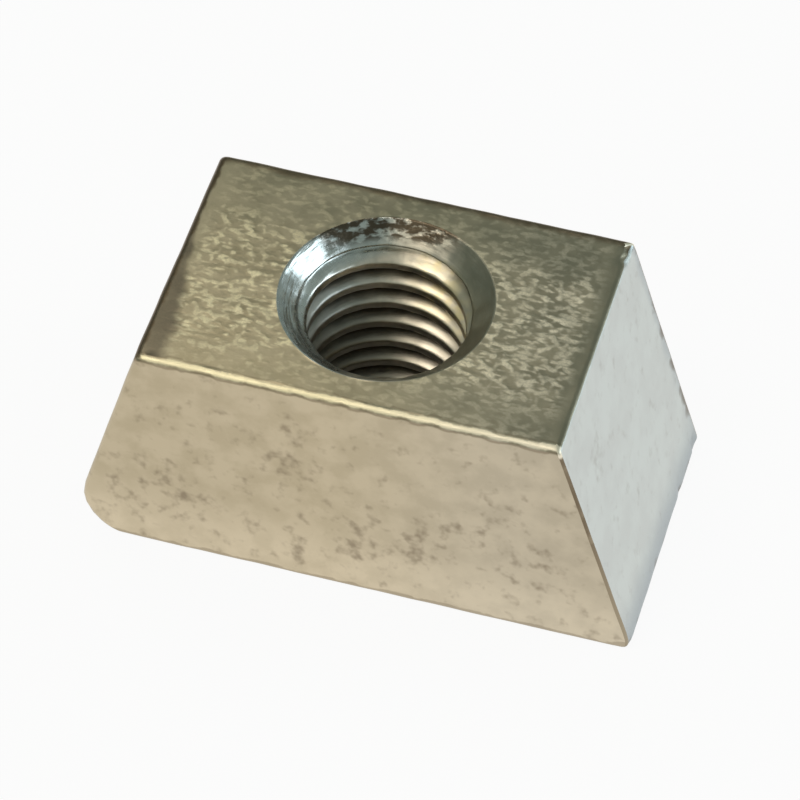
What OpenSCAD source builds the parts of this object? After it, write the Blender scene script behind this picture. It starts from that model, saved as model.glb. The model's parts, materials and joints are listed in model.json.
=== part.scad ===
// Channel nut: a length of square bar, cut off at a slant at both ends and tapped through the middle.
// The base rests on z = 0 and the hole stands on the z axis. The bar runs along x.

/* [Bar] */
// Height of the bar, from the base to the top face
bar_height = 12; // [9:0.5:20]
// Depth of the bar, from the front face to the back face
bar_depth = 12; // [10.5:0.5:20]
// Radius along the four long edges of the bar
bar_edge_radius = 0.3; // [0.1:0.05:0.6]

/* [Slanted ends] */
// Length of the base between the ends, before its edges are rounded
base_length = 25; // [23:0.5:34]
// Length of the top face between the ends, before its edges are rounded
top_length = 18; // [14:0.5:22]
// Radius of the base's left edge, rolled over by the cut
left_base_radius = 2.2; // [0.25:0.05:3]
// Radius of the base's right edge
right_base_radius = 0.4; // [0.25:0.05:3]
// Radius of the top face's two end edges
top_end_radius = 0.3; // [0.1:0.05:1]

/* [Tapped hole] */
// Nominal diameter of the thread
thread_diameter = 8; // [5:1:10]
// Pitch of the thread
thread_pitch = 1.25; // [0.75:0.25:1.5]
// How much wider than the thread the countersink is at each face
sink_extra = 1; // [0.4:0.1:1.4]
// Full angle of the countersinks
sink_angle = 90; // [80:5:120]

/* [Hidden] */
$fn = 96;

// A cut runs this far past the faces that it opens
overrun = 1;

// A metric thread's crests stand five eighths of its triangle's height in from the nominal diameter
thread_triangle = thread_pitch * sqrt(3) / 2;
thread_depth = thread_triangle * 5 / 8;
bore_radius = thread_diameter / 2 - thread_depth;
sink_radius = (thread_diameter + sink_extra) / 2;
sink_depth = (sink_radius - bore_radius) / tan(sink_angle / 2);

// The bar's section, seen along the bar, anticlockwise from the front of the base
section_corners = [
    [-bar_depth / 2, 0],
    [bar_depth / 2, 0],
    [bar_depth / 2, bar_height],
    [-bar_depth / 2, bar_height]
];
section_radii = [for (corner = section_corners) bar_edge_radius];

// The side outline that the two slanted cuts leave, anticlockwise from the base's left edge
side_corners = [
    [-base_length / 2, 0],
    [base_length / 2, 0],
    [top_length / 2, bar_height],
    [-top_length / 2, bar_height]
];
side_radii = [left_base_radius, right_base_radius, top_end_radius, top_end_radius];

// Unit vector from one point towards another
function toward(from, to) = (to - from) / norm(to - from);

// Unit vectors from a corner of an outline along the edges before and after it
function edge_before(corners, i) = toward(corners[i], corners[(i + len(corners) - 1) % len(corners)]);
function edge_after(corners, i) = toward(corners[i], corners[(i + 1) % len(corners)]);

// Half of the angle inside a corner
function half_angle(corners, i) = acos(edge_before(corners, i) * edge_after(corners, i)) / 2;

// The two points where a corner's arc meets its edges
function arc_ends(corners, radii, i) =
    let (reach = radii[i] / tan(half_angle(corners, i)))
    [corners[i] + reach * edge_before(corners, i), corners[i] + reach * edge_after(corners, i)];

// The centre of a corner's arc
function arc_centre(corners, radii, i) =
    let (inward = edge_before(corners, i) + edge_after(corners, i))
    corners[i] + radii[i] / sin(half_angle(corners, i)) * inward / norm(inward);

// A convex outline with an arc of its own radius at each corner
module rounded_outline(corners, radii) {
    indices = [0:len(corners) - 1];
    polygon([for (i = indices) each arc_ends(corners, radii, i)]);
    for (i = indices)
        translate(arc_centre(corners, radii, i))
            circle(radii[i]);
}

// The drawn bar, longer than the nut
module bar() {
    rotate([90, 0, 90])
        linear_extrude(base_length + 2 * overrun, center = true)
            rounded_outline(section_corners, section_radii);
}

// What the slanted cuts leave, wider than the bar
module slant_cut_block() {
    rotate([90, 0, 0])
        linear_extrude(bar_depth + 2 * overrun, center = true)
            rounded_outline(side_corners, side_radii);
}

// A countersink that opens upwards, with its rim at z = 0
module countersink() {
    rim_growth = overrun * tan(sink_angle / 2);
    translate([0, 0, -sink_depth])
        cylinder(h = sink_depth + overrun, r1 = bore_radius, r2 = sink_radius + rim_growth);
}

// The hole at the thread's crests, countersunk at both faces
module tapped_hole() {
    translate([0, 0, -overrun])
        cylinder(h = bar_height + 2 * overrun, r = bore_radius);
    translate([0, 0, bar_height])
        countersink();
    mirror([0, 0, 1])
        countersink();
}

// The whole nut
module channel_nut() {
    color("#b3a98f")
        difference() {
            intersection() {
                bar();
                slant_cut_block();
            }
            tapped_hole();
        }
}

channel_nut();
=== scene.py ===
import json
import math
from collections import namedtuple

import bpy
from bpy.props import FloatProperty, FloatVectorProperty, PointerProperty
from mathutils import Matrix, Vector, noise


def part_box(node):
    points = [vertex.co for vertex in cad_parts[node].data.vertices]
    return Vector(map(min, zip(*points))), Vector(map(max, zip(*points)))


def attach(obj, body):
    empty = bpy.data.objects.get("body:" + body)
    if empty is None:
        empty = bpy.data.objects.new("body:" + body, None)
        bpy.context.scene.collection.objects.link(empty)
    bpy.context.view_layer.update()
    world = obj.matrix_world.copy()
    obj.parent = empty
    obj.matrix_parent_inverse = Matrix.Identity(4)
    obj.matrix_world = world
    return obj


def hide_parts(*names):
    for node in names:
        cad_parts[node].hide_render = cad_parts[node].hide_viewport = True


bl_info = {
    "name": "Channel Nut",
    "version": (1, 0, 0),
    "blender": (4, 5, 0),
    "location": "View3D > Sidebar > Channel Nut",
    "description": "Builds a wedge-ended channel nut with its thread, worn edges and plated finish",
    "category": "Add Mesh",
}

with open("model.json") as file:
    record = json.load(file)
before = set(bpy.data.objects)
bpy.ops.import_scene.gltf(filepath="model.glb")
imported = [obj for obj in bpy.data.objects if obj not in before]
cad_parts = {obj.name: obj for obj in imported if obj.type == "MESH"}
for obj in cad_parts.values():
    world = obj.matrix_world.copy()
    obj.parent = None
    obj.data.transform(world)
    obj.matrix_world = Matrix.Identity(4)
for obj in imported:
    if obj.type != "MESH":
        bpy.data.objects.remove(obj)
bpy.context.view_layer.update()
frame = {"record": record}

# Sizes that the frame gives
MM = 0.001
NODE = "channel_nut"
low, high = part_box(NODE)
mounts = {mount["name"]: mount for mount in frame["record"]["mounts"]}
hole_sizes = mounts["threaded_hole"]["dims"]
bar_height = high.z - low.z
half_depth = (high.y - low.y) / 2
crest_radius = hole_sizes["r_mm"] * MM
slant_middle = Vector(mounts["right_slant"]["pos_m"])
slant_normal = Vector(mounts["right_slant"]["axis"])

# The countersinks open at 90 degrees, so they are as deep as they are wide
sink_depth = (bar_height - hole_sizes["length_mm"] * MM) / 2
sink_radius = crest_radius + sink_depth

# Angle inside the nut between the base and a slanted end
base_angle = math.acos(slant_normal.z)

# How finely the mesh is cut
SIDE_COLUMNS = 82
END_COLUMNS = 46
CORNER_STEPS = 3
ARC_STEPS = 6
FACE_RINGS = 14
FLAT_ROW = 0.7 * MM
THREAD_ROW = 0.055 * MM

# A ring this close to a rounded edge keeps the flat face beside it flat
SUPPORT = 0.06 * MM

# A ring closer than this to the one below is left out
SMALLEST_GAP = 0.004 * MM

# Widths of the thread's crest and of its groove's root, as shares of the pitch
CREST_SHARE = 1 / 4
ROOT_SHARE = 1 / 8

# Depths in a countersink, as shares of its own, where the groove is gone and where it has its full depth
NO_GROOVE = 0.5
FULL_GROOVE = 0.95

# The thread's wall turns into the countersink's cone in a soft bend of this size
SINK_BEND = 0.35 * MM

# The countersink's cutter leaves this many marks, which begin this far below the rim
CHATTER_MARKS = 17
CHATTER_START = 0.3 * MM

# The wander of the surface is the same in each run, and changes over these distances
WANDER_SEED = 5
FACE_WANDER = 1.6 * MM
EDGE_WANDER = 1.0 * MM
HOLE_WANDER = 0.7 * MM

# Places of the finishes in the mesh's list of materials
DRAWN, CUT, TAPPED, BROWNED = range(4)

# The drawn finish of the top covers this share of its rounded right edge
RIGHT_OVERRUN = 0.3

# Places of the colours in a Mix node, where the sockets' names repeat
MIX_FIRST, MIX_SECOND, MIX_RESULT = 6, 7, 2

# Width of the camera's sensor, in mm
SENSOR_WIDTH = 36

# Knocks in the edges: a place, how far its mark reaches, and how far the metal is pushed there, in mm
EDGE_KNOCKS = [
    ((-9.0, -6.0, 12.0), 0.8, (0.02, 0.02, -0.05)),
    ((8.95, 4.9, 12.0), 0.4, (-0.14, 0.0, -0.12)),
    ((8.95, 5.55, 12.0), 0.3, (-0.1, 0.0, -0.12)),
    ((12.35, 5.4, 0.6), 0.5, (-0.14, 0.0, 0.0)),
    ((12.35, 2.8, 0.5), 0.4, (-0.1, 0.0, 0.0)),
    ((12.25, -5.9, 0.4), 0.5, (-0.1, 0.1, 0.0)),
]

# Clusters of pits in the front face and the right end: a place and how far the cluster reaches, in mm
PIT_CLUSTERS = [
    ((-2.2, -6.0, 9.4), 1.1),
    ((-5.3, -6.0, 9.1), 0.8),
    ((-2.8, -6.0, 7.2), 1.3),
    ((-7.4, -6.0, 3.7), 1.5),
    ((-9.9, -6.0, 2.4), 1.1),
    ((-2.1, -6.0, 2.0), 1.2),
    ((0.8, -6.0, 3.4), 1.6),
    ((5.1, -6.0, 5.6), 1.3),
    ((3.2, -6.0, 4.0), 1.5),
    ((7.6, -6.0, 4.2), 1.4),
    ((10.0, -3.2, 8.7), 1.0),
]

# A column of the mesh: a place on the outline as shares of its half length and half depth, the way out
# of the outline there, and the finish of the face that follows
Station = namedtuple("Station", "place out finish")


# Settings that the panel shows


def length(name, description, size):
    """A size in metres that the panel shows as a length."""
    return FloatProperty(
        name=name, description=description, default=size, min=0.0, unit="LENGTH", precision=5
    )


def share(name, description, amount):
    """A number from 0 to 1."""
    return FloatProperty(
        name=name, description=description, default=amount, min=0.0, max=1.0, subtype="FACTOR"
    )


def tint(name, description, colour):
    """A colour in linear light."""
    return FloatVectorProperty(
        name=name, description=description, default=colour, size=3, min=0.0, max=1.0, subtype="COLOR"
    )


def angle(name, description, degrees):
    """An angle."""
    return FloatProperty(name=name, description=description, default=math.radians(degrees), subtype="ANGLE")


def power(name, description, watts):
    """The strength of a lamp."""
    return FloatProperty(name=name, description=description, default=watts, min=0.0, unit="POWER")


class NutSizes(bpy.types.PropertyGroup):
    """Sizes of the nut's edges and thread. The main sizes come from the frame."""

    bar_edge_radius: length("Bar edges", "Radius along the bar's four long edges", 0.3 * MM)
    left_base_radius: length("Left base edge", "Radius of the base's rolled-over left edge", 2.2 * MM)
    right_base_radius: length("Right base edge", "Radius of the base's right edge", 0.4 * MM)
    top_end_radius: length("Top end edges", "Radius of the top face's two end edges", 0.3 * MM)
    left_corner_radius: length("Left upright edges", "Radius of the left end's upright edges", 0.25 * MM)
    right_corner_radius: length("Right upright edges", "Radius of the right end's upright edges", 0.12 * MM)
    rim_radius: length("Hole rims", "Radius of the rims where the countersinks meet the faces", 0.12 * MM)
    thread_pitch: length("Thread pitch", "Height of one turn of the thread", 1.25 * MM)
    thread_depth: length("Thread depth", "Depth of the groove below the crests", 0.6766 * MM)
    thread_start: share("Thread start", "Share of a turn by which the thread is turned", 0.455)
    unevenness: length("Unevenness", "How far the faces and the wall of the hole wander", 0.015 * MM)
    raggedness: length("Raggedness", "How far the rounded edges wander", 0.012 * MM)
    chatter: length("Chatter", "Depth of the cutter's marks round the countersinks", 0.015 * MM)


class NutFinish(bpy.types.PropertyGroup):
    """Colours and gloss of the plated steel."""

    drawn_colour: tint("Drawn faces", "Warm plated steel of the bar's own faces", (0.52, 0.445, 0.315))
    # Paler and bluer than the drawn faces: partly the ends' own plating, partly a painted cool reflection.
    cut_colour: tint("Cut ends", "Paler plated steel of the slanted ends", (0.615, 0.64, 0.61))
    thread_colour: tint("Thread", "Cleaner metal in the tapped hole", (0.76, 0.69, 0.57))
    film_colour: tint("Film", "Yellow film on the upper turns of the thread", (0.86, 0.72, 0.38))
    # Painted cool reflection in the countersinks at the left; darker, the painted shade on the thread's left
    # turns.
    cool_reflection_colour: tint("Scraped cone", "Bluish metal at the left of the countersink", (0.6, 0.7, 0.74))
    # Dark brown of the real pits and brown lines, and also of the painted shade along some edges and in the
    # thread's grooves.
    pit_and_shade_colour: tint("Pits", "Dark brown in the pits and along the edges", (0.16, 0.115, 0.07))
    # Painted greenish shade on the top face and on the countersinks at the right.
    painted_shade_colour: tint("Tarnish", "Greenish grey on the top face and in the hole", (0.25, 0.25, 0.19))
    # Painted brown-grey shade along the left of the top face.
    left_shade_colour: tint("Stain", "Brown grey along the left of the top face", (0.2, 0.168, 0.122))
    # Painted glints in the top face's flecks and at the right end's upright edges, and the worn front edge
    # with its painted highlight.
    highlight_and_wear_colour: tint("Rubbed spots", "Cream where the top face is rubbed bright", (0.93, 0.845, 0.68))
    drawn_roughness: share("Drawn roughness", "Roughness of the drawn faces", 0.34)
    cut_roughness: share("Cut roughness", "Roughness of the slanted ends", 0.42)
    thread_roughness: share("Thread roughness", "Roughness of the tapped hole", 0.3)


class StageSettings(bpy.types.PropertyGroup):
    """The floor, the lights and the camera."""

    floor_colour: tint("Floor", "Colour of the plain floor", (0.9, 0.9, 0.9))
    floor_white: share("Floor white", "Share of plain white that the floor shows", 0.93)
    room_colour: tint("Room", "Colour of the even light from all round", (0.25, 0.29, 0.265))
    warm_colour: tint("Warm light", "Colour of the key, front and back lights", (1.0, 0.93, 0.82))
    cool_colour: tint("Cool light", "Colour of the fill light", (0.78, 0.91, 1.0))
    key_power: power("Key light", "Warm light from high at the front left", 0.19)
    front_power: power("Front light", "Warm broad light from the front", 0.11)
    back_power: power("Back light", "Warm light from high at the back left", 0.014)
    fill_power: power("Fill light", "Cool strip of light from the right", 0.39)
    camera_aim: FloatVectorProperty(
        name="Aim",
        description="The point close to the nut's middle that the camera looks at",
        default=(0.66 * MM, -0.25 * MM, 6 * MM),
        size=3,
        subtype="TRANSLATION",
        unit="LENGTH",
        precision=5,
    )
    camera_azimuth: angle("Azimuth", "How far the camera stands round to the right of the front", 16.27)
    camera_elevation: angle("Elevation", "How far the camera stands above the horizon", 49.71)
    camera_distance: length("Distance", "From the camera to the point that it looks at", 186 * MM)
    camera_lens: FloatProperty(
        name="Lens", description="Focal length on a 36 mm sensor", default=198, min=1.0, unit="CAMERA"
    )


# The nut's mesh


def arc_reach(depth, radius):
    """How far a rounded edge stands out from its arc's centre, at a depth below the flat face beside it."""
    return math.sqrt(radius ** 2 - (radius - depth) ** 2)


def flank_reach(height):
    """How far a slanted end stands from the hole's axis at a height, without its rounded edges."""
    return slant_middle.x - (height - slant_middle.z) * slant_normal.z / slant_normal.x


def end_reach(height, base_radius, top_radius):
    """How far a slanted end stands from the hole's axis at a height."""
    depth = bar_height - height
    if height < base_radius * (1 + math.cos(base_angle)):
        return flank_reach(0) - base_radius / math.tan(base_angle / 2) + arc_reach(height, base_radius)
    if depth < top_radius * (1 - math.cos(base_angle)):
        return flank_reach(bar_height) - top_radius * math.tan(base_angle / 2) + arc_reach(depth, top_radius)
    return flank_reach(height)


def face_reach(height, edge_radius):
    """How far the front and back faces stand from the hole's axis at a height."""
    depth = min(height, bar_height - height)
    if depth < edge_radius:
        return half_depth - edge_radius + arc_reach(depth, edge_radius)
    return half_depth


def side_shares(half_angle, columns):
    """Places along a side, from -1 to 1, that lie evenly apart as seen from the hole's axis. One more
    stands close to each end, so that the rounded corners keep to themselves."""
    close = 0.01
    turns = [half_angle * (2 * step / columns - 1) for step in range(1, columns)]
    return [-1, close - 1, *(math.tan(turn) / math.tan(half_angle) for turn in turns), 1 - close, 1]


def outline_stations(sizes):
    """The columns of the mesh, anticlockwise from the front of the right end."""
    end_angle = math.atan2(face_reach(bar_height, sizes.bar_edge_radius), flank_reach(bar_height))
    sides = [(end_angle, END_COLUMNS, CUT), (math.pi / 2 - end_angle, SIDE_COLUMNS, DRAWN)] * 2
    stations = []
    for turn, (half_angle, columns, finish) in enumerate(sides):
        out = Vector((1, 0)) @ Matrix.Rotation(-turn * math.pi / 2, 2)
        along = Vector((-out.y, out.x))
        shares = side_shares(half_angle, columns)
        stations += [Station(out + place * along, out, finish) for place in shares[:-1]]
        corner = out + along
        corner_finish = BROWNED if corner.x > 0 else DRAWN
        for step in range(CORNER_STEPS):
            bend = math.pi / 2 * step / CORNER_STEPS
            stations.append(Station(corner, math.cos(bend) * out + math.sin(bend) * along, corner_finish))
    return stations


def edge_depths(radius):
    """Depths below a flat face at which a rounded edge gets a ring."""
    return [radius * (1 - math.cos(math.pi / 2 * step / ARC_STEPS)) for step in range(ARC_STEPS + 1)]


def thinned(levels):
    """The levels in rising order, without those that all but repeat the one below."""
    kept = []
    for level in sorted(levels):
        if not kept or level - kept[-1] > SMALLEST_GAP:
            kept.append(level)
    return kept


def even_rows(bottom, top, spacing):
    """Heights between two others, evenly apart by about the spacing."""
    rows = round((top - bottom) / spacing)
    return [bottom + (top - bottom) * row / rows for row in range(1, rows)]


def outer_levels(sizes):
    """Heights of the rings round the outside, from the base to the top face."""
    levels = []
    for radius in (sizes.bar_edge_radius, sizes.right_base_radius, sizes.left_base_radius):
        levels += edge_depths(radius)
    for radius in (sizes.right_base_radius, sizes.left_base_radius):
        levels.append(radius * (1 + math.cos(base_angle)))
    bottom = max(levels)
    top_depths = edge_depths(sizes.bar_edge_radius) + edge_depths(sizes.top_end_radius)
    top = bar_height - max(top_depths) - SUPPORT
    levels += even_rows(bottom, top, FLAT_ROW)
    levels.append(top)
    levels += [bar_height - depth for depth in top_depths]
    return thinned(levels)


def outer_ring(height, stations, sizes):
    """The points round the outside at one height."""
    right = end_reach(height, sizes.right_base_radius, sizes.top_end_radius)
    left = end_reach(height, sizes.left_base_radius, sizes.top_end_radius)
    depth = face_reach(height, sizes.bar_edge_radius)
    ring = []
    for station in stations:
        on_right = station.place.x > 0
        end = right if on_right else left
        corner = sizes.right_corner_radius if on_right else sizes.left_corner_radius
        x = station.place.x * (end - corner) + corner * station.out.x
        y = station.place.y * (depth - corner) + corner * station.out.y
        ring.append(Vector((x, y, height)))
    return ring


def face_rings(outside, inside):
    """Rings across a flat face, between its outer edge and the hole's rim."""
    reach = (outside[0] - inside[0]).length
    close = SUPPORT / reach
    places = [close] + [step / FACE_RINGS for step in range(1, FACE_RINGS)] + [1 - close]
    return [[start.lerp(end, place) for start, end in zip(outside, inside)] for place in places]


def smooth_larger(first, second, blend):
    """The larger of two sizes, with a soft bend where one takes over from the other."""
    near = max(blend - abs(first - second), 0) / blend
    return max(first, second) + near ** 2 * blend / 4


def clamped(value):
    """A value kept between 0 and 1."""
    return min(max(value, 0), 1)


def smooth_step(value):
    """A share that leaves 0 and reaches 1 softly."""
    inside = clamped(value)
    return inside * inside * (3 - 2 * inside)


def wander(point, distance, amount):
    """A random shift of a point by up to about the amount, which changes over the distance."""
    return noise.noise_vector(point / distance) * amount


def round_axis(radius, bearing, height):
    """A point at a radius and a bearing round the hole's axis."""
    return Vector((radius * math.cos(bearing), radius * math.sin(bearing), height))


def groove_depth(turn, from_face, sizes):
    """Depth of the thread's groove at a place along one turn. Its root and crest are flat with soft edges,
    and the groove runs out in the countersinks."""
    from_root = abs((turn - sizes.thread_start + 0.5) % 1 - 0.5)
    crest_edge = (1 - CREST_SHARE) / 2
    root_edge = ROOT_SHARE / 2
    fall = clamped((crest_edge - from_root) / (crest_edge - root_edge))
    run_out = smooth_step((from_face / sink_depth - NO_GROOVE) / (FULL_GROOVE - NO_GROOVE))
    return sizes.thread_depth * run_out * (fall + smooth_step(fall)) / 2


def hole_ring(height, bearings, sizes):
    """The points round the tapped hole at one height."""
    from_face = min(height, bar_height - height)
    ring = []
    for bearing in bearings:
        turn = height / sizes.thread_pitch - bearing / (2 * math.pi)
        wall = crest_radius + groove_depth(turn, from_face, sizes)
        chatter = sizes.chatter * math.cos(CHATTER_MARKS * bearing) * min(from_face / CHATTER_START, 1)
        radius = smooth_larger(wall, sink_radius - from_face + chatter, SINK_BEND)
        point = round_axis(radius, bearing, height)
        ring.append(point + wander(point, HOLE_WANDER, sizes.unevenness))
    return ring


def rim_rings(bearings, sizes):
    """The rounded rim of the top countersink, from the top face down to the cone."""
    bend = math.pi / 4
    centre_radius = sink_radius + sizes.rim_radius * math.tan(bend / 2)
    centre_height = bar_height - sizes.rim_radius
    rings = []
    for step in range(CORNER_STEPS + 1):
        lean = bend * step / CORNER_STEPS
        radius = centre_radius - sizes.rim_radius * math.sin(lean)
        height = centre_height + sizes.rim_radius * math.cos(lean)
        rings.append([round_axis(radius, bearing, height) for bearing in bearings])
    return rings


def flipped(rings):
    """The same rings at the base instead of the top face, in the opposite order."""
    return [[Vector((p.x, p.y, bar_height - p.z)) for p in ring] for ring in reversed(rings)]


def ragged(point, sizes):
    """A point of the outside, moved by the wander of the rounded edges if it is on one."""
    if min(point.z, bar_height - point.z) > sizes.bar_edge_radius:
        return point
    return point + wander(point, EDGE_WANDER, sizes.raggedness)


def worn(point, sizes):
    """A point of the outside, moved by the knocks in the edges and by the wander of the faces."""
    moved = point + wander(point, FACE_WANDER, sizes.unevenness)
    for place, reach, push in EDGE_KNOCKS:
        away = (point - Vector(place) * MM).length / (reach * MM)
        if away < 1:
            moved += Vector(push) * MM * (1 - away ** 2) ** 2
    moved.z = min(max(moved.z, 0), bar_height)
    return moved


def outside_finish(station, height, sizes):
    """The finish of the outside at a height. The drawn finish of the top runs over its left edge, and over
    the upper part of its right edge."""
    overrun = sizes.top_end_radius * (RIGHT_OVERRUN if station.place.x > 0 else 1)
    if station.finish == CUT and height > bar_height - overrun:
        return DRAWN
    return station.finish


def nut_rings(sizes, stations):
    """All rings of the nut, from the top rim out over the top face, down the outside, in over the base
    and back up the hole, and the finishes of the band of faces that follows each ring."""
    levels = list(reversed(outer_levels(sizes)))
    outside = [outer_ring(height, stations, sizes) for height in levels]
    bearings = [math.atan2(point.y, point.x) for point in outside[0]]
    rim = rim_rings(bearings, sizes)
    base_rim = flipped(rim)
    top_face = list(reversed(face_rings(outside[0], rim[0])))
    base_face = face_rings(outside[-1], base_rim[-1])
    wall_bottom = base_rim[0][0].z
    wall_top = rim[-1][0].z
    wall = [hole_ring(height, bearings, sizes) for height in even_rows(wall_bottom, wall_top, THREAD_ROW)]
    outside = [[ragged(point, sizes) for point in ring] for ring in outside]
    outer_part = [[worn(point, sizes) for point in ring] for ring in top_face + outside + base_face]
    hole_part = list(reversed(base_rim)) + wall + list(reversed(rim))
    drawn = [DRAWN] * len(stations)
    tapped = [TAPPED] * len(stations)
    middles = [(above + below) / 2 for above, below in zip(levels, levels[1:])]
    finishes = [drawn] * len(top_face)
    finishes += [[outside_finish(station, height, sizes) for station in stations] for height in middles]
    finishes += [drawn] * (len(base_face) + 1) + [tapped] * (len(hole_part) - 1) + [drawn]
    return outer_part + hole_part, finishes


def nut_mesh(sizes):
    """The nut as one closed skin."""
    noise.seed_set(WANDER_SEED)
    stations = outline_stations(sizes)
    rings, finishes = nut_rings(sizes, stations)
    columns = len(stations)
    faces = []
    for row in range(len(rings)):
        this_row = row * columns
        next_row = (row + 1) % len(rings) * columns
        for column in range(columns):
            beside = (column + 1) % columns
            faces.append((this_row + column, next_row + column, next_row + beside, this_row + beside))
    mesh = bpy.data.meshes.new("nut_body")
    mesh.from_pydata([point for ring in rings for point in ring], [], faces)
    mesh.polygons.foreach_set("material_index", [finish for band in finishes for finish in band])
    mesh.shade_smooth()
    return mesh


# What the materials are made with


def empty_material(name):
    """A material that has no nodes yet."""
    material = bpy.data.materials.new(name)
    material.use_nodes = True
    material.node_tree.nodes.clear()
    return material


def put(tree, kind, inputs, **settings):
    """Adds a node, sets it up, and links or sets each named input."""
    node = tree.nodes.new(kind)
    for name, value in settings.items():
        setattr(node, name, value)
    for name, value in inputs.items():
        if isinstance(value, bpy.types.NodeSocket):
            tree.links.new(value, node.inputs[name])
        else:
            node.inputs[name].default_value = value
    return node


def math_node(tree, operation, first, second=0.0):
    """One step of arithmetic on one or two values."""
    return put(tree, "ShaderNodeMath", {0: first, 1: second}, operation=operation).outputs[0]


def vector_node(tree, operation, first, second=(0, 0, 0)):
    """One step of arithmetic on one or two vectors."""
    return put(tree, "ShaderNodeVectorMath", {0: first, 1: second}, operation=operation).outputs


def chained(tree, operation, values):
    """The same step of arithmetic all along a row of values."""
    result = values[0]
    for value in values[1:]:
        result = math_node(tree, operation, result, value)
    return result


def total(tree, *values):
    """Several values added up."""
    return chained(tree, "ADD", values)


def product(tree, *values):
    """Several values multiplied."""
    return chained(tree, "MULTIPLY", values)


def largest(tree, *values):
    """The largest of several values."""
    return chained(tree, "MAXIMUM", values)


def smallest(tree, *values):
    """The smallest of several values."""
    return chained(tree, "MINIMUM", values)


def difference(tree, first, second):
    """The first value less the second."""
    return math_node(tree, "SUBTRACT", first, second)


def unsigned(tree, value):
    """A value without its sign."""
    return math_node(tree, "ABSOLUTE", value)


def remap(tree, value, start, end, first=0.0, last=1.0):
    """A value taken smoothly from one range to another: first up to the start, and last beyond the end."""
    inputs = {"Value": value, "From Min": start, "From Max": end, "To Min": first, "To Max": last}
    return put(tree, "ShaderNodeMapRange", inputs, interpolation_type="SMOOTHSTEP").outputs["Result"]


def between(tree, value, start, end, soft, amount=1.0):
    """An amount between two values and 0 outside them, with soft ends."""
    rise = remap(tree, value, start - soft, start + soft, 0.0, amount)
    fall = remap(tree, value, end - soft, end + soft, 1.0, 0.0)
    return product(tree, rise, fall)


def varied(tree, clouds, roughness, less, more):
    """A roughness that follows the clouds, from that much less to that much more."""
    return remap(tree, clouds, 0.3, 0.7, roughness - less, roughness + more)


def opaque(colour):
    """Red, green and blue with the fourth part that a node's colours have. A link stays as it is."""
    return colour if isinstance(colour, bpy.types.NodeSocket) else (*colour, 1)


def blend_colour(tree, factor, first, second):
    """One colour turning into another as the factor goes from 0 to 1."""
    inputs = {0: factor, MIX_FIRST: opaque(first), MIX_SECOND: opaque(second)}
    return put(tree, "ShaderNodeMix", inputs, data_type="RGBA").outputs[MIX_RESULT]


def scaled(colour, amounts):
    """A colour made darker or lighter, by an amount for each of red, green and blue."""
    return tuple(min(part * amount, 1) for part, amount in zip(colour, amounts))


def toned(colour, amount):
    """A colour made darker or lighter as a whole."""
    return scaled(colour, (amount, amount, amount))


def millimetres(tree, stretch=(1, 1, 1)):
    """Places on the nut in millimetres, squeezed along each axis as given."""
    place = put(tree, "ShaderNodeTexCoord", {}).outputs["Object"]
    return vector_node(tree, "MULTIPLY", place, Vector(stretch) / MM)["Vector"]


def grain(tree, place, per_mm, detail=3.0):
    """Soft random grain with about that many grains in a millimetre."""
    inputs = {"Vector": place, "Scale": per_mm, "Detail": detail}
    return put(tree, "ShaderNodeTexNoise", inputs).outputs["Fac"]


def bump(tree, height, distance, normal=None, strength=1.0):
    """Relief of that height in metres from a value between 0 and 1, on top of another relief."""
    inputs = {"Height": height, "Distance": distance, "Strength": strength}
    if normal is not None:
        inputs["Normal"] = normal
    return put(tree, "ShaderNodeBump", inputs).outputs["Normal"]


def pit_clusters(tree, place):
    """Where pits gather: 1 in the middle of a cluster and 0 away from them all."""
    gathered = []
    for centre, reach in PIT_CLUSTERS:
        away = vector_node(tree, "DISTANCE", place, centre)["Value"]
        gathered.append(remap(tree, away, 0.2 * reach, 1.5 * reach, 1.0, 0.0))
    return largest(tree, *gathered)


def soft_spots(tree, place, per_mm, largest_spot, soft):
    """Soft round spots of random sizes and strengths, about that many in a millimetre, most of them faint.
    The largest spot and the soft edge are given as shares of the distance between spots."""
    drift = put(tree, "ShaderNodeTexNoise", {"Vector": place, "Scale": per_mm}).outputs["Color"]
    drift = vector_node(tree, "MULTIPLY", drift, [0.8 / per_mm] * 3)["Vector"]
    moved = vector_node(tree, "ADD", place, drift)["Vector"]
    cells = put(tree, "ShaderNodeTexVoronoi", {"Vector": moved, "Scale": per_mm}).outputs
    chance = put(tree, "ShaderNodeSeparateColor", {"Color": cells["Color"]}).outputs
    size = product(tree, remap(tree, chance["Red"], 0.0, 1.0, 0.4, 1.0), largest_spot)
    inside = remap(tree, difference(tree, size, cells["Distance"]), 0.0, soft)
    return product(tree, inside, math_node(tree, "POWER", chance["Green"], 1.5))


def plated_pits(tree, place, amount):
    """The pits of a plated face: a few tiny ones, and brown blotches that are faint on their own and darker
    in the clusters."""
    upright = millimetres(tree, (1, 1, 0.85))
    tiny = product(tree, soft_spots(tree, upright, per_mm=1.6, largest_spot=0.3, soft=0.3), 0.2)
    gathered = product(tree, pit_clusters(tree, place), 0.15)
    blotches = total(tree, grain(tree, upright, 1.9, 2.0), gathered)
    blotches = remap(tree, blotches, 0.55, 0.92, 0.0, 0.62)
    return product(tree, largest(tree, tiny, blotches), amount)


def over_edge(tree, depth, inset, wobble):
    """How far over a rounded edge a place lies, in mm: minus the edge's radius where it leaves the flat
    face that the depth is measured from, and plus the radius where it meets the side."""
    return total(tree, difference(tree, depth, inset), wobble)


# The nut's finishes


class Places:
    """Where a point of the nut lies, in mm."""

    def __init__(self, tree):
        self.point = millimetres(tree)
        parts = put(tree, "ShaderNodeSeparateXYZ", {"Vector": self.point}).outputs
        self.x = parts["X"]
        self.y = parts["Y"]
        self.z = parts["Z"]


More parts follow.
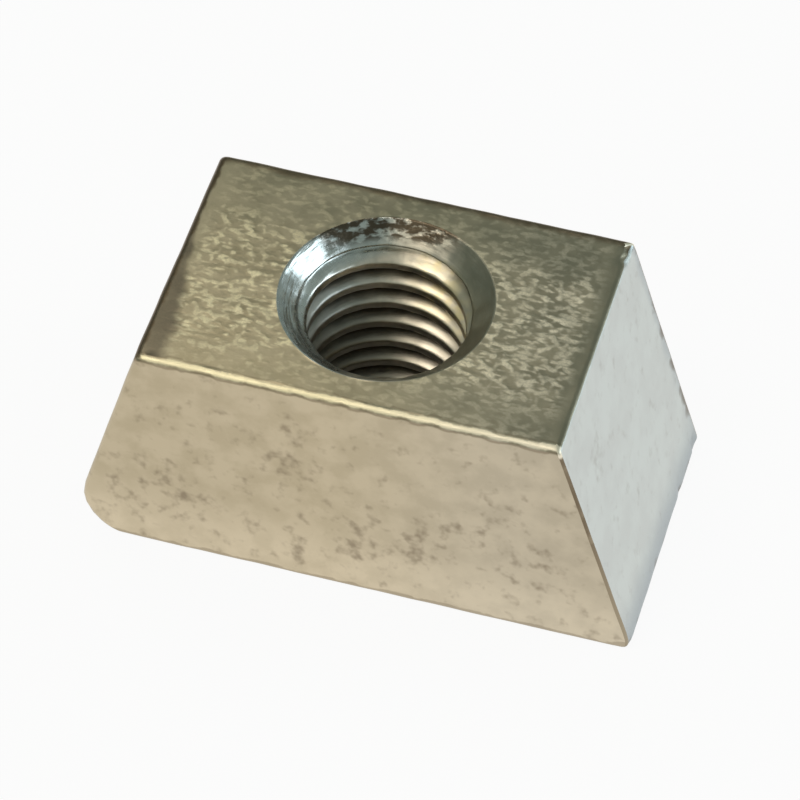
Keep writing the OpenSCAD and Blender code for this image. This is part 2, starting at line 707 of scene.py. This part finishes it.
class DrawnPlaces(Places):
    """Where a point of the drawn faces lies: also below the top face and in from its edges, in mm, whether
    it is on the top face or close to it, and how far over the front edge it is, with some wobble."""

    def __init__(self, tree):
        super().__init__(tree)
        self.depth = difference(tree, bar_height / MM, self.z)
        self.from_front = total(tree, self.y, half_depth / MM)
        self.from_back = difference(tree, half_depth / MM, self.y)
        self.from_left = total(tree, self.x, flank_reach(bar_height) / MM)
        self.on_top = remap(tree, self.depth, 0.3, 0.05)
        self.near_top = remap(tree, self.depth, 0.6, 0.5)
        self.wobble = remap(tree, grain(tree, self.point, 1.2), 0.3, 0.7, -0.08, 0.08)
        self.over_front = over_edge(tree, self.depth, self.from_front, self.wobble)


class TappedPlaces(Places):
    """Where a point of the tapped hole lies: also its bearing round the axis, how far out from the crests
    and up into a countersink it is, in mm, and whether it is in a countersink."""

    def __init__(self, tree):
        super().__init__(tree)
        level = put(tree, "ShaderNodeCombineXYZ", {"X": self.x, "Y": self.y}).outputs["Vector"]
        self.bearing = vector_node(tree, "NORMALIZE", level)["Vector"]
        self.past_crest = difference(tree, vector_node(tree, "LENGTH", level)["Value"], crest_radius / MM)
        off_middle = unsigned(tree, difference(tree, self.z, bar_height / MM / 2))
        self.up_sink = difference(tree, off_middle, (bar_height / 2 - sink_depth) / MM)
        self.in_sink = remap(tree, self.up_sink, -0.7, 0.1)


def peened_zone(tree, at):
    """How strongly the top face is peened: most along a band that lies further forward at the left, less
    at the front and back, and not at the ends."""
    forward = remap(tree, at.x, -3.0, 3.0, 0.9, 0.2)
    off_band = unsigned(tree, total(tree, at.y, forward))
    from_hole = unsigned(tree, at.x)
    return product(tree, remap(tree, off_band, 2.2, 4.6, 1.0, 0.3), remap(tree, from_hole, 8.8, 7.8))


def painted_glint_flecks(tree, at, peened, fine, zone):
    """Painted glints: bright flecks on the crowns of the top face's peened grain and of its scuffs, a few
    more at the right, all of them broken up by the fine grain."""
    scuffed = grain(tree, millimetres(tree, (0.6, 1.3, 1)), 3.3, 0.7)
    crowns = largest(tree, peened, difference(tree, scuffed, 0.02))
    crowns = total(tree, crowns, remap(tree, at.x, 0.0, 6.0, 0.0, 0.03))
    broken = remap(tree, fine, 0.35, 0.6, 0.75, 1.1)
    patchy = remap(tree, grain(tree, at.point, 1.0, 2.0), 0.35, 0.65, 0.6, 1.0)
    return product(tree, remap(tree, crowns, 0.5, 0.7), zone, broken, patchy, at.on_top)


def front_edge_highlight(tree, at):
    """The bright line along the front edge of the top face: partly worn metal, partly a painted highlight.
    """
    return product(tree, between(tree, at.over_front, -0.27, 0.03, 0.06), at.near_top)


def dark_edge_lines(tree, at):
    """Dark lines at the edges: painted shade in a thin line on both sides of the bright front edge and along
    the front edge of the base, and brown lines along the back and left edges of the top face."""
    over_back = over_edge(tree, at.depth, at.from_back, at.wobble)
    over_left = over_edge(tree, at.depth, at.from_left, at.wobble)
    over_base = over_edge(tree, at.z, at.from_front, at.wobble)
    off_faces = smallest(tree, at.from_front, at.from_back)
    left_line = between(tree, over_left, -0.2, 0.5, 0.08, 0.9)
    top_lines = largest(
        tree,
        # Painted shade on both sides of the bright front edge.
        between(tree, at.over_front, -0.44, -0.36, 0.06, 0.3),
        between(tree, at.over_front, 0.1, 0.24, 0.05, 0.5),
        between(tree, over_back, -0.45, 0.3, 0.2, 0.8),
        product(tree, left_line, remap(tree, off_faces, 0.03, 0.2)),
    )
    # Painted shade along the front edge of the base.
    base_line = between(tree, over_base, -0.1, 0.36, 0.06, 0.4)
    near_base = remap(tree, at.z, 0.6, 0.5)
    return largest(tree, product(tree, top_lines, at.near_top), product(tree, base_line, near_base))


def left_painted_shade(tree, at, clouds):
    """The painted brown-grey shade along the left of the top face, broad at the front and narrow at the
    back.
    """
    width = remap(tree, at.y, -half_depth / MM, half_depth / MM / 2, 1.35, 0.25)
    uneven = remap(tree, clouds, 0.3, 0.7, -0.15, 0.15)
    across = total(tree, math_node(tree, "DIVIDE", at.from_left, width), uneven)
    behind_edge = product(tree, at.near_top, remap(tree, at.over_front, -0.2, -0.45))
    cover = remap(tree, clouds, 0.35, 0.65, 0.95, 0.8)
    return product(tree, remap(tree, across, 0.6, 1.2, 1.0, 0.0), behind_edge, cover)


def top_painted_shade(tree, at, zone):
    """The painted greenish shade of the top face, most at the back right and less where the face is peened.
    """
    back_right = total(tree, at.y, product(tree, at.x, 0.8))
    spread = remap(tree, back_right, -12.0, 6.0, 0.1, 0.62)
    return product(tree, spread, at.on_top, remap(tree, zone, 0.3, 1.0, 1.0, 0.6))


def drawn_metal(tree, finish, at, clouds, to_right):
    """The metal of the drawn faces: olive and cream in soft clouds, with painted cool light towards the
    right and painted light that makes them paler low down."""
    # Painted light: paler low down on the front and back faces.
    low_down = total(tree, at.z, product(tree, clouds, 3.0))
    painted_light_below = remap(tree, low_down, 6.0, 3.0, 0.0, 0.5)
    shade = total(tree, remap(tree, clouds, 0.34, 0.66, 0.0, 0.5), painted_light_below)
    warm_olive = scaled(finish.drawn_colour, (0.94, 0.92, 0.86))
    cool_olive = scaled(finish.drawn_colour, (0.93, 0.94, 0.97))
    warm_cream = scaled(finish.drawn_colour, (1.3, 1.29, 1.28))
    cool_cream = scaled(finish.drawn_colour, (1.28, 1.3, 1.36))
    # Painted cool light towards the right.
    olive = blend_colour(tree, to_right, warm_olive, cool_olive)
    cream = blend_colour(tree, to_right, warm_cream, cool_cream)
    return blend_colour(tree, shade, olive, cream)


def drawn_steel(tree, finish):
    """The bar's own faces: warm satin with a few pits, brown lines and painted shade at the edges. The top
    face is peened, with painted glints in flecks, a worn front edge with a painted highlight, painted shade
    at the left and a painted greenish shade at the back right."""
    at = DrawnPlaces(tree)
    clouds = grain(tree, at.point, 0.8, 5.0)
    fine = grain(tree, at.point, 9.0)
    peened = grain(tree, millimetres(tree, (0.8, 1.0, 1)), 3.0, 0.7)
    zone = peened_zone(tree, at)
    to_right = remap(tree, at.x, -2.0, 8.0)
    # Painted glints in flecks, and the worn front edge with its painted highlight.
    rubbed_and_highlit = largest(tree, painted_glint_flecks(tree, at, peened, fine, zone), front_edge_highlight(tree, at))
    # Colour of the painted glints and edge highlight, warmer at the left.
    golden = scaled(finish.highlight_and_wear_colour, (1.02, 1.0, 0.86))
    bright = blend_colour(tree, to_right, golden, finish.highlight_and_wear_colour)
    pits = plated_pits(tree, at.point, remap(tree, at.on_top, 0.0, 1.0, 1.0, 0.4))
    # Pits and dark edge lines, with the painted shade along the front edges.
    brown = largest(tree, dark_edge_lines(tree, at), pits)
    colour = drawn_metal(tree, finish, at, clouds, to_right)
    # Painted greenish shade on the top face.
    colour = blend_colour(tree, top_painted_shade(tree, at, zone), colour, finish.painted_shade_colour)
    # Painted glints and the front edge's painted highlight.
    colour = blend_colour(tree, rubbed_and_highlit, colour, bright)
    # Painted brown-grey shade along the left of the top face.
    colour = blend_colour(tree, left_painted_shade(tree, at, clouds), colour, finish.left_shade_colour)
    colour = blend_colour(tree, brown, colour, finish.pit_and_shade_colour)
    roughness = varied(tree, clouds, finish.drawn_roughness, 0.04, 0.05)
    roughness = total(tree, roughness, product(tree, rubbed_and_highlit, 0.16))
    relief = bump(tree, peened, 0.015 * MM, strength=zone)
    relief = bump(tree, fine, 0.003 * MM, relief)
    return colour, roughness, relief


def cut_steel(tree, finish):
    """The slanted ends: paler, bluer satin, partly a painted cool reflection, with faint clouds and few
    pits, painted shade low down and darker at the back, with a frayed brown line along those two edges."""
    at = Places(tree)
    from_back = difference(tree, half_depth / MM, at.y)
    clouds = grain(tree, at.point, 0.6, 5.0)
    shade = remap(tree, clouds, 0.34, 0.66)
    # Painted shade low down, where the base edge rounds under; darker towards the back.
    darker_low_and_back = largest(
        tree,
        remap(tree, total(tree, at.z, clouds), 2.9, 0.7, 0.0, 0.8),
        remap(tree, total(tree, from_back, clouds), 1.2, 0.6, 0.0, 0.5),
    )
    from_edge = smallest(tree, difference(tree, at.z, 0.15), from_back)
    fray = remap(tree, grain(tree, at.point, 0.9, 4.0), 0.3, 0.7, -0.2, 0.4)
    edge_line = remap(tree, total(tree, from_edge, fray), 0.45, 0.0, 0.0, 0.7)
    brown = largest(tree, plated_pits(tree, at.point, 0.45), edge_line)
    # The ends' pale blue is partly a painted cool reflection.
    colour = blend_colour(tree, shade, toned(finish.cut_colour, 0.94), toned(finish.cut_colour, 1.05))
    colour = blend_colour(tree, darker_low_and_back, colour, scaled(finish.cut_colour, (0.6, 0.64, 0.7)))
    colour = blend_colour(tree, brown, colour, finish.pit_and_shade_colour)
    roughness = varied(tree, clouds, finish.cut_roughness, 0.05, 0.05)
    relief = bump(tree, clouds, 0.02 * MM)
    return colour, roughness, relief


def left_turns_shade(tree, at):
    """Painted bluish shade on the left of the thread, which ends at the countersinks."""
    return difference(tree, remap(tree, at.x, 0.0, -3.0, 0.0, 0.5), at.in_sink)


def yellow_film(tree, at, clouds):
    """The yellow film in patches on the upper turns at the right, which ends low in the countersink."""
    to_right = remap(tree, at.x, -0.5, 1.5)
    high_up = remap(tree, at.z, 6.5, 9.0)
    patchy = remap(tree, clouds, 0.4, 0.6, 0.1, 0.7)
    return difference(tree, product(tree, to_right, high_up, patchy), remap(tree, at.up_sink, 0.2, 0.6))


def sink_painted_shade(tree, at):
    """Painted greenish shade at the right, from the outermost turns over the countersinks."""
    return product(tree, remap(tree, at.up_sink, -1.0, -0.3), 0.9, remap(tree, at.x, 1.2, 2.6))


def thread_shade(tree, at):
    """Painted shade at the grooves' roots, and over the deep turns at the left."""
    in_groove = remap(tree, at.past_crest, 0.22, 0.6)
    roots = product(tree, in_groove, difference(tree, 1.0, at.in_sink))
    deep_left = product(tree, remap(tree, at.z, 9.5, 6.0), remap(tree, at.x, 1.8, -2.0), 0.55)
    return largest(tree, roots, deep_left)


def tapped_steel(tree, finish):
    """The thread and the countersinks: cleaner metal with fine turning marks. The thread has a yellow film
    and painted shade in its grooves, low at the left and on its left turns. The countersinks have scrapes
    with a streaky painted cool reflection at the left, painted shade at the right, and are torn at the back."""
    at = TappedPlaces(tree)
    clouds = grain(tree, at.point, 1.5, 4.0)
    turning = grain(tree, millimetres(tree, (0.3, 0.3, 4)), 4.0)
    furrows = grain(tree, at.bearing, 6.0)
    scrapes = grain(tree, millimetres(tree, (0.35, 0.35, 2.4)), 1.6, 2.0)
    # Painted streaky reflection, for the left of the countersinks.
    reflection_streaks = remap(tree, total(tree, furrows, scrapes), 0.75, 1.25, -0.9, 0.6)
    # Scrapes at the left of the countersinks, which also carry the painted cool reflection.
    scraped_and_reflecting = product(tree, at.in_sink, remap(tree, at.x, 1.2, -2.4, 0.2, 1.0))
    torn = grain(tree, millimetres(tree, (0.65, 0.65, 1.6)), 3.0)
    back_left = difference(tree, at.y, product(tree, at.x, 0.28))
    torn_zone = product(tree, remap(tree, back_left, 2.9, 3.9, 0.1, 1.0), remap(tree, at.up_sink, 0.4, 0.7))
    torn_dark = product(tree, remap(tree, torn, 0.35, 0.52, 0.0, 0.95), torn_zone)
    shade = total(tree, remap(tree, clouds, 0.3, 0.75), product(tree, reflection_streaks, scraped_and_reflecting))
    colour = blend_colour(tree, shade, toned(finish.thread_colour, 0.85), toned(finish.thread_colour, 1.15))
    # Painted bluish shade on the left turns.
    colour = blend_colour(tree, left_turns_shade(tree, at), colour, toned(finish.cool_reflection_colour, 0.6))
    colour = blend_colour(tree, yellow_film(tree, at, clouds), colour, finish.film_colour)
    # Painted cool reflection at the left of the countersinks.
    colour = blend_colour(tree, remap(tree, scraped_and_reflecting, 0.4, 1.0, 0.0, 0.6), colour, finish.cool_reflection_colour)
    # Painted greenish shade at the right.
    colour = blend_colour(tree, sink_painted_shade(tree, at), colour, finish.painted_shade_colour)
    # Painted shade in the grooves and deep at the left.
    colour = blend_colour(tree, thread_shade(tree, at), colour, toned(finish.pit_and_shade_colour, 0.65))
    colour = blend_colour(tree, torn_dark, colour, toned(finish.pit_and_shade_colour, 0.6))
    roughness = varied(tree, clouds, finish.thread_roughness, 0.03, 0.06)
    roughness = total(tree, roughness, remap(tree, scraped_and_reflecting, 0.2, 1.0, 0.06, -0.06))
    relief = bump(tree, turning, 0.006 * MM)
    relief = bump(tree, furrows, 0.02 * MM, relief, at.in_sink)
    relief = bump(tree, scrapes, 0.08 * MM, relief, scraped_and_reflecting)
    relief = bump(tree, torn, 0.04 * MM, relief, torn_zone)
    return colour, roughness, relief


def browned_steel(tree, finish):
    """The right end's upright edges: brown in patches, less so towards the base, with a painted glint at
    the top of each."""
    at = Places(tree)
    top = bar_height / MM
    patches = remap(tree, grain(tree, at.point, 0.7, 4.0), 0.4, 0.75, 0.15, 0.5)
    faded = remap(tree, at.z, top, 0.0, 0.0, 0.6)
    cover = largest(tree, patches, faded)
    # Painted glint at the tops of the edges.
    painted_tip_glint = remap(tree, at.z, top - 0.5, top - 0.3)
    colour = blend_colour(tree, cover, finish.pit_and_shade_colour, finish.drawn_colour)
    colour = blend_colour(tree, painted_tip_glint, colour, finish.highlight_and_wear_colour)
    roughness = remap(tree, cover, 0.0, 0.6, 0.5, 0.38)
    relief = bump(tree, grain(tree, at.point, 4.0), 0.02 * MM)
    return colour, roughness, relief


def metal(make_finish, finish):
    """A metal named for the function that makes its colour, roughness and relief."""
    material = empty_material(make_finish.__name__)
    tree = material.node_tree
    colour, roughness, relief = make_finish(tree, finish)
    inputs = {"Base Color": colour, "Metallic": 1.0, "Roughness": roughness, "Normal": relief}
    shader = put(tree, "ShaderNodeBsdfPrincipled", inputs)
    put(tree, "ShaderNodeOutputMaterial", {"Surface": shader.outputs["BSDF"]})
    return material


class NUT_OT_body(bpy.types.Operator):
    """Builds the nut with its tapped hole and its finishes"""

    bl_idname = "channel_nut.body"
    bl_label = "Nut Body"

    def execute(self, context):
        mesh = nut_mesh(context.scene.nut_sizes)
        for make_finish in (drawn_steel, cut_steel, tapped_steel, browned_steel):
            mesh.materials.append(metal(make_finish, context.scene.nut_finish))
        nut = bpy.data.objects.new("nut_body", mesh)
        context.collection.objects.link(nut)
        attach(nut, "root")
        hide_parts(NODE)
        return {"FINISHED"}


# The stage


def away_from(azimuth, elevation):
    """The way from the nut to something that stands round to the right of the front, above the horizon."""
    level = math.cos(elevation)
    return Vector((math.sin(azimuth) * level, -math.cos(azimuth) * level, math.sin(elevation)))


def facing(place, aim):
    """The turn that points a lamp or a camera at a place from where it stands."""
    return (aim - place).to_track_quat("-Z", "Y").to_matrix().to_4x4()


def pale_floor(stage):
    """The floor's finish: a plain pale surface that shows white to the camera and to the metal, and keeps a
    part of the nut's shadow. Under the hole, where no light falls, it isn't white."""
    material = empty_material("pale_floor")
    tree = material.node_tree
    path = put(tree, "ShaderNodeLightPath", {}).outputs
    seen = largest(tree, path["Is Camera Ray"], path["Is Glossy Ray"], path["Is Transmission Ray"])
    white = put(tree, "ShaderNodeEmission", {"Color": (1, 1, 1, 1), "Strength": 1.0})
    matt = put(tree, "ShaderNodeBsdfDiffuse", {"Color": opaque(stage.floor_colour)})
    place = put(tree, "ShaderNodeTexCoord", {}).outputs["Object"]
    off_axis = vector_node(tree, "LENGTH", place)["Value"]
    past_rim = 1.1 * sink_radius
    outside_hole = remap(tree, off_axis, sink_radius, past_rim, 0.0, stage.floor_white)
    share_of_white = product(tree, seen, outside_hole)
    inputs = {0: share_of_white, 1: matt.outputs["BSDF"], 2: white.outputs["Emission"]}
    mixed = put(tree, "ShaderNodeMixShader", inputs)
    put(tree, "ShaderNodeOutputMaterial", {"Surface": mixed.outputs["Shader"]})
    return material


def add_floor(context, stage):
    """A large floor under the nut."""
    half = 2.0
    mesh = bpy.data.meshes.new("floor")
    corners = [(-half, -half, 0), (half, -half, 0), (half, half, 0), (-half, half, 0)]
    mesh.from_pydata(corners, [], [(0, 1, 2, 3)])
    mesh.materials.append(pale_floor(stage))
    floor = bpy.data.objects.new("floor", mesh)
    context.collection.objects.link(floor)


def add_room(context, stage):
    """Even soft light from all round."""
    room = bpy.data.worlds.new("room")
    room.use_nodes = True
    room.node_tree.nodes["Background"].inputs["Color"].default_value = opaque(stage.room_colour)
    context.scene.world = room


def add_lamp(context, name, watts, colour, azimuth, elevation, distance, width, height, lean=0):
    """A soft light that looks at the nut from the given degrees round and up, and leans by some degrees."""
    lamp = bpy.data.lights.new(name, "AREA")
    lamp.shape = "RECTANGLE"
    lamp.size = width
    lamp.size_y = height
    lamp.energy = watts
    lamp.color = colour
    aim = Vector((0, 0, bar_height / 2))
    place = aim + away_from(math.radians(azimuth), math.radians(elevation)) * distance
    holder = bpy.data.objects.new(name, lamp)
    turn = Matrix.Rotation(math.radians(lean), 4, "Z")
    holder.matrix_world = Matrix.Translation(place) @ facing(place, aim) @ turn
    context.collection.objects.link(holder)


def add_lamps(context, stage):
    """The warm lights at the front and back, and the cool one at the right."""
    add_lamp(
        context, "key_light", stage.key_power, stage.warm_colour,
        azimuth=-49, elevation=62, distance=0.3, width=0.12, height=0.12,
    )
    add_lamp(
        context, "front_light", stage.front_power, stage.warm_colour,
        azimuth=-14, elevation=30, distance=0.4, width=0.2, height=0.34,
    )
    add_lamp(
        context, "back_light", stage.back_power, stage.warm_colour,
        azimuth=-135, elevation=65, distance=0.12, width=0.05, height=0.05,
    )
    add_lamp(
        context, "fill_light", stage.fill_power, stage.cool_colour,
        azimuth=103, elevation=23, distance=0.35, width=0.28, height=0.16, lean=-22,
    )


def add_camera(context, stage):
    """The camera, at its angle and distance from the point that it looks at."""
    aim = Vector(stage.camera_aim)
    place = aim + away_from(stage.camera_azimuth, stage.camera_elevation) * stage.camera_distance
    camera = bpy.data.cameras.new("camera")
    camera.lens = stage.camera_lens
    camera.sensor_width = SENSOR_WIDTH
    camera.clip_start = 1 * MM
    holder = bpy.data.objects.new("camera", camera)
    holder.matrix_world = Matrix.Translation(place) @ facing(place, aim)
    context.collection.objects.link(holder)
    context.scene.camera = holder


class NUT_OT_stage(bpy.types.Operator):
    """Builds the floor, the lights and the camera"""

    bl_idname = "channel_nut.stage"
    bl_label = "Stage"

    def execute(self, context):
        for add in (add_floor, add_room, add_lamps, add_camera):
            add(context, context.scene.nut_stage)
        context.scene.view_settings.view_transform = "Standard"
        return {"FINISHED"}


# The panel and the start


class NUT_PT_panel(bpy.types.Panel):
    """The nut's pieces and the stage"""

    bl_label = "Channel Nut"
    bl_idname = "NUT_PT_panel"
    bl_space_type = "VIEW_3D"
    bl_region_type = "UI"
    bl_category = "Channel Nut"

    def draw(self, context):
        groups = [
            (NUT_OT_body, (context.scene.nut_sizes, context.scene.nut_finish)),
            (NUT_OT_stage, (context.scene.nut_stage,)),
        ]
        for operator, settings in groups:
            box = self.layout.box()
            box.operator(operator.bl_idname)
            for group in settings:
                for name in group.__annotations__:
                    box.prop(group, name)


CLASSES = (NutSizes, NutFinish, StageSettings, NUT_OT_body, NUT_OT_stage, NUT_PT_panel)


def register():
    """Makes the classes and the settings known to Blender."""
    for cls in CLASSES:
        bpy.utils.register_class(cls)
    bpy.types.Scene.nut_sizes = PointerProperty(type=NutSizes)
    bpy.types.Scene.nut_finish = PointerProperty(type=NutFinish)
    bpy.types.Scene.nut_stage = PointerProperty(type=StageSettings)


def unregister():
    """Takes the settings and the classes away again."""
    del bpy.types.Scene.nut_stage
    del bpy.types.Scene.nut_finish
    del bpy.types.Scene.nut_sizes
    for cls in reversed(CLASSES):
        bpy.utils.unregister_class(cls)


def main():
    """Builds the nut and the stage."""
    register()
    bpy.ops.channel_nut.body()
    bpy.ops.channel_nut.stage()


if __name__ == "__main__":
    main()
